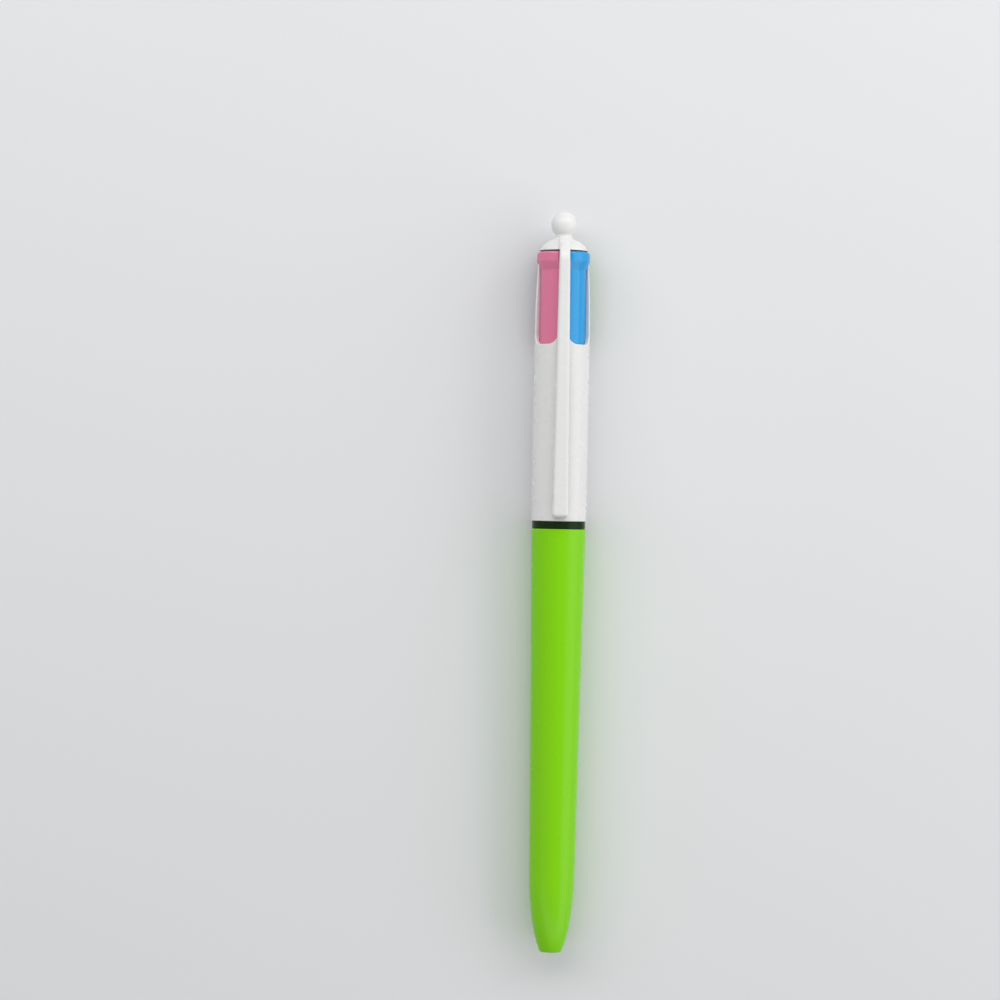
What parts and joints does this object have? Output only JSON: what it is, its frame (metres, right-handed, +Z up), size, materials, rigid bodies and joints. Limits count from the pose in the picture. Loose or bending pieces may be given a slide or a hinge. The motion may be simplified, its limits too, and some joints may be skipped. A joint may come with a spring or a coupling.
{
  "type": "multicolor click pen",
  "caption": "Click pen with several inks: white upper barrel with slotted push sliders and a pocket clip, screw-on grip barrel, and sprung ballpoint refills inside.",
  "frame": {"origin": "middle of the pen as it lies clip up, on the surface below it", "axes": "+X towards the ball at the top of the pen, -X towards the writing tip, +Z up, on the side of the clip"},
  "size_m": [0.145, 0.0108, 0.0134],
  "materials": {
    "white_plastic": "glossy moulded",
    "grip_plastic": "glossy moulded",
    "ring_plastic": "glossy moulded",
    "guide_plastic": "satin moulded",
    "blue_plastic": "satin moulded",
    "pink_plastic": "satin moulded",
    "green_plastic": "satin moulded",
    "purple_plastic": "satin moulded",
    "tube_plastic": "translucent, extruded",
    "spring_steel": "drawn wire",
    "nib_brass": "turned",
    "ball_steel": "ground",
    "blue_ink": "wet",
    "pink_ink": "wet",
    "green_ink": "wet",
    "purple_ink": "wet"
  },
  "bodies": {
    "barrel": {"upper_barrel": "white_plastic", "top_cap": "white_plastic", "thread_collar": "ring_plastic", "refill_guide": "guide_plastic", "blue_return_spring": "spring_steel", "pink_return_spring": "spring_steel", "green_return_spring": "spring_steel", "purple_return_spring": "spring_steel"},
    "lower_barrel": {"lower_barrel": "grip_plastic"},
    "clip": {"pocket_clip": "white_plastic"},
    "blue_slider": {"blue_slider": "blue_plastic", "blue_refill_tube": "tube_plastic", "blue_ink": "blue_ink", "blue_nib": "nib_brass"},
    "pink_slider": {"pink_slider": "pink_plastic", "pink_refill_tube": "tube_plastic", "pink_ink": "pink_ink", "pink_nib": "nib_brass"},
    "green_slider": {"green_slider": "green_plastic", "green_refill_tube": "tube_plastic", "green_ink": "green_ink", "green_nib": "nib_brass"},
    "purple_slider": {"purple_slider": "purple_plastic", "purple_refill_tube": "tube_plastic", "purple_ink": "purple_ink", "purple_nib": "nib_brass"},
    "blue_ball": {"blue_writing_ball": "ball_steel"},
    "pink_ball": {"pink_writing_ball": "ball_steel"},
    "green_ball": {"green_writing_ball": "ball_steel"},
    "purple_ball": {"purple_writing_ball": "ball_steel"}
  },
  "joints": [
    {"name": "lower_barrel_off", "type": "slide", "parent": "barrel", "child": "lower_barrel", "axis": [-1, 0, 0], "range_m": [0, 0.095]},
    {"name": "clip_flex", "type": "hinge", "parent": "barrel", "child": "clip", "pos_m": [0.06585, 0, 0.0093], "axis": [0, 1, 0], "range_deg": [0, 4], "stiffness_Nm_per_rad": 3.6},
    {"name": "blue_press", "type": "slide", "parent": "barrel", "child": "blue_slider", "axis": [-1, 0, 0], "range_m": [0, 0.0064], "stiffness_N_per_m": 120, "springref_m": -0.004, "deforming": ["blue_return_spring"]},
    {"name": "pink_press", "type": "slide", "parent": "barrel", "child": "pink_slider", "axis": [-1, 0, 0], "range_m": [0, 0.0064], "stiffness_N_per_m": 120, "springref_m": -0.004, "deforming": ["pink_return_spring"]},
    {"name": "green_press", "type": "slide", "parent": "barrel", "child": "green_slider", "axis": [-1, 0, 0], "range_m": [0, 0.0064], "stiffness_N_per_m": 120, "springref_m": -0.004, "deforming": ["green_return_spring"]},
    {"name": "purple_press", "type": "slide", "parent": "barrel", "child": "purple_slider", "axis": [-1, 0, 0], "range_m": [0, 0.0064], "stiffness_N_per_m": 120, "springref_m": -0.004, "deforming": ["purple_return_spring"]},
    {"name": "blue_ball_roll", "type": "hinge", "parent": "blue_slider", "child": "blue_ball", "pos_m": [-0.06835, -0.00045, 0.00585], "axis": [0, 0.7071, 0.7071], "continuous": true},
    {"name": "pink_ball_roll", "type": "hinge", "parent": "pink_slider", "child": "pink_ball", "pos_m": [-0.06835, 0.00045, 0.00585], "axis": [0, 0.7071, -0.7071], "continuous": true},
    {"name": "green_ball_roll", "type": "hinge", "parent": "green_slider", "child": "green_ball", "pos_m": [-0.06835, -0.00045, 0.00495], "axis": [0, -0.7071, 0.7071], "continuous": true},
    {"name": "purple_ball_roll", "type": "hinge", "parent": "purple_slider", "child": "purple_ball", "pos_m": [-0.06835, 0.00045, 0.00495], "axis": [0, -0.7071, -0.7071], "continuous": true}
  ]
}
